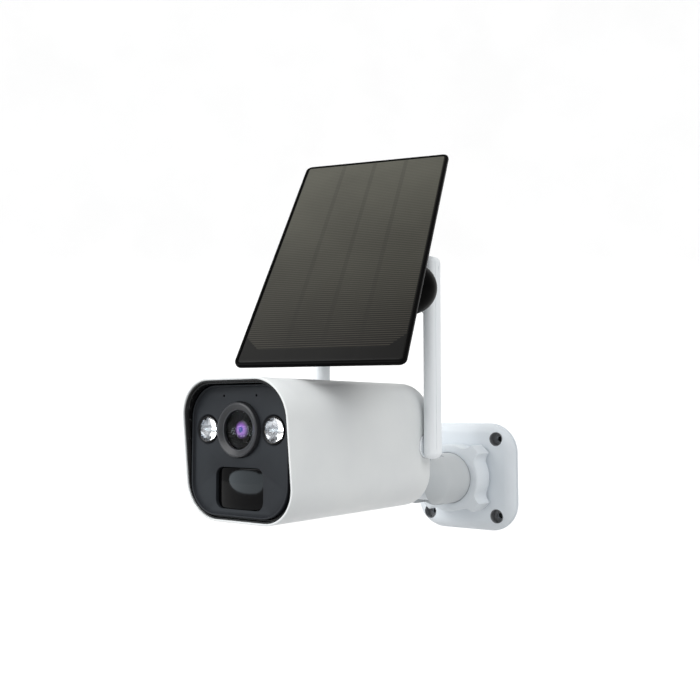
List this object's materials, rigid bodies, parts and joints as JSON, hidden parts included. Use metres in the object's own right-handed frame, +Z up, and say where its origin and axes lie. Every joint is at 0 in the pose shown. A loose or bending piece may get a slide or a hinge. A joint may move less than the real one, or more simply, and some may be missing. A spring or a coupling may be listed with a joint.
{
  "type": "solar security camera",
  "caption": "Square-bodied outdoor bullet camera with lamps, motion sensor and folding aerials on a jointed wall bracket, with a tilting solar panel on an arm.",
  "frame": {"origin": "middle of the wall plate's back face, where it meets the wall", "axes": "+Y into the wall, the camera looks along -Y, +Z up, +X to the right of a person facing the wall"},
  "size_m": [0.1283, 0.2535, 0.2495],
  "materials": {
    "white_shell": "moulded, fine satin texture",
    "white_bracket": "satin powder coat",
    "white_antenna": "moulded, satin",
    "rubber": "moulded",
    "steel": "satin",
    "liner_black": "satin to gloss",
    "face_grey": "fine satin",
    "lens_metal": "satin, turned rings",
    "lens_glass": "coated, purple and blue",
    "inner_glass": "coated",
    "lamp_mirror": "bright, faceted",
    "lamp_glass": "clear",
    "pir_black": "polished",
    "board": "solder mask",
    "sensor": "ceramic package",
    "brass": "plain",
    "cell_wrap": "shrink wrap",
    "black_plastic": "moulded",
    "arm_black": "satin powder coat",
    "solar_cell": "dark cells with fine silver lines",
    "solar_glass": "clear, laminated",
    "grey_rubber": "moulded"
  },
  "bodies": {
    "wall_bracket": {"wall_plate": "white_bracket", "wall_gasket": "rubber", "friction_washer": "rubber"},
    "lock_nut": {"lock_nut": "white_bracket"},
    "swivel_head": {"swivel_head": "white_bracket", "tilt_bolt": "steel"},
    "neck": {"camera_neck": "white_bracket", "neck_retainer": "steel"},
    "camera": {"body_shell": "white_shell", "front_liner": "liner_black", "face_seal": "rubber", "face_plate": "face_grey", "lens_ring": "lens_metal", "lens_barrel": "black_plastic", "lens_front_glass": "lens_glass", "lens_rear_glass": "inner_glass", "image_sensor": "sensor", "lamp_reflector_left": "lamp_mirror", "lamp_reflector_right": "lamp_mirror", "lamp_lens_left": "lamp_glass", "lamp_lens_right": "lamp_glass", "lamp_board": "board", "pir_window": "pir_black", "pir_sensor": "steel", "microphones": "brass", "speaker": "black_plastic", "main_board": "board", "battery_cells": "cell_wrap", "battery_holder": "black_plastic", "antenna_boss_left": "white_antenna", "antenna_boss_right": "white_antenna", "port_frame": "black_plastic", "usb_socket": "steel", "memory_card": "black_plastic", "solar_arm": "arm_black", "arm_screws": "steel", "pan_bolt": "steel", "pan_nut": "steel"},
    "antenna_left": {"antenna_left": "white_antenna", "antenna_core_left": "brass"},
    "antenna_right": {"antenna_right": "white_antenna", "antenna_core_right": "brass"},
    "port_cover": {"port_cover": "grey_rubber"},
    "reset_button": {"reset_button": "grey_rubber"},
    "power_button": {"power_button": "grey_rubber"},
    "tilt_link": {"tilt_link": "arm_black", "tilt_axle": "steel"},
    "panel": {"panel_hinge": "arm_black", "hinge_screws": "steel", "panel_frame": "black_plastic", "panel_back": "black_plastic", "solar_cells": "solar_cell", "panel_glass": "solar_glass", "cable_outlet": "black_plastic"},
    "knob_left": {"tilt_knob_left": "black_plastic"},
    "knob_right": {"tilt_knob_right": "black_plastic"}
  },
  "joints": [
    {"name": "lock_nut_turn", "type": "hinge", "parent": "wall_bracket", "child": "lock_nut", "pos_m": [0, -0.02, 0], "axis": [0, 1, 0], "range_deg": [0, 90]},
    {"name": "swivel_turn", "type": "hinge", "parent": "wall_bracket", "child": "swivel_head", "pos_m": [0, -0.03, 0], "axis": [0, 1, 0], "range_deg": [-90, 90]},
    {"name": "camera_tilt", "type": "hinge", "parent": "swivel_head", "child": "neck", "pos_m": [0, -0.062, 0], "axis": [-1, 0, 0], "range_deg": [-30, 15]},
    {"name": "camera_roll", "type": "hinge", "parent": "neck", "child": "camera", "pos_m": [0, -0.1117, 0.012], "axis": [0, 1, 0], "range_deg": [-90, 90]},
    {"name": "antenna_left_fold", "type": "hinge", "parent": "camera", "child": "antenna_left", "pos_m": [-0.0435, -0.1223, 0.0264], "axis": [1, 0, 0], "range_deg": [-60, 85]},
    {"name": "antenna_right_fold", "type": "hinge", "parent": "camera", "child": "antenna_right", "pos_m": [0.0435, -0.1223, 0.0264], "axis": [1, 0, 0], "range_deg": [-60, 0]},
    {"name": "port_cover_open", "type": "hinge", "parent": "camera", "child": "port_cover", "pos_m": [0, -0.1528, -0.0099], "axis": [1, 0, 0], "range_deg": [0, 100]},
    {"name": "reset_button_press", "type": "slide", "parent": "camera", "child": "reset_button", "axis": [0, 0, 1], "range_m": [0, 0.0006], "stiffness_N_per_m": 400},
    {"name": "power_button_press", "type": "slide", "parent": "camera", "child": "power_button", "axis": [0, 0, 1], "range_m": [0, 0.0006], "stiffness_N_per_m": 400},
    {"name": "panel_pan", "type": "hinge", "parent": "camera", "child": "tilt_link", "pos_m": [0, -0.1158, 0.117], "axis": [0, 0, 1], "range_deg": [-40, 8]},
    {"name": "panel_tilt", "type": "hinge", "parent": "tilt_link", "child": "panel", "pos_m": [0.01568, -0.16433, 0.1192], "axis": [-0.9516, -0.3074, 0], "range_deg": [-3, 30]},
    {"name": "knob_left_turn", "type": "hinge", "parent": "tilt_link", "child": "knob_left", "pos_m": [0.01568, -0.16433, 0.1192], "axis": [0.9516, 0.3074, 0], "range_deg": [-90, 90]},
    {"name": "knob_right_turn", "type": "hinge", "parent": "tilt_link", "child": "knob_right", "pos_m": [0.01568, -0.16433, 0.1192], "axis": [0.9516, 0.3074, 0], "range_deg": [-90, 90]}
  ]
}
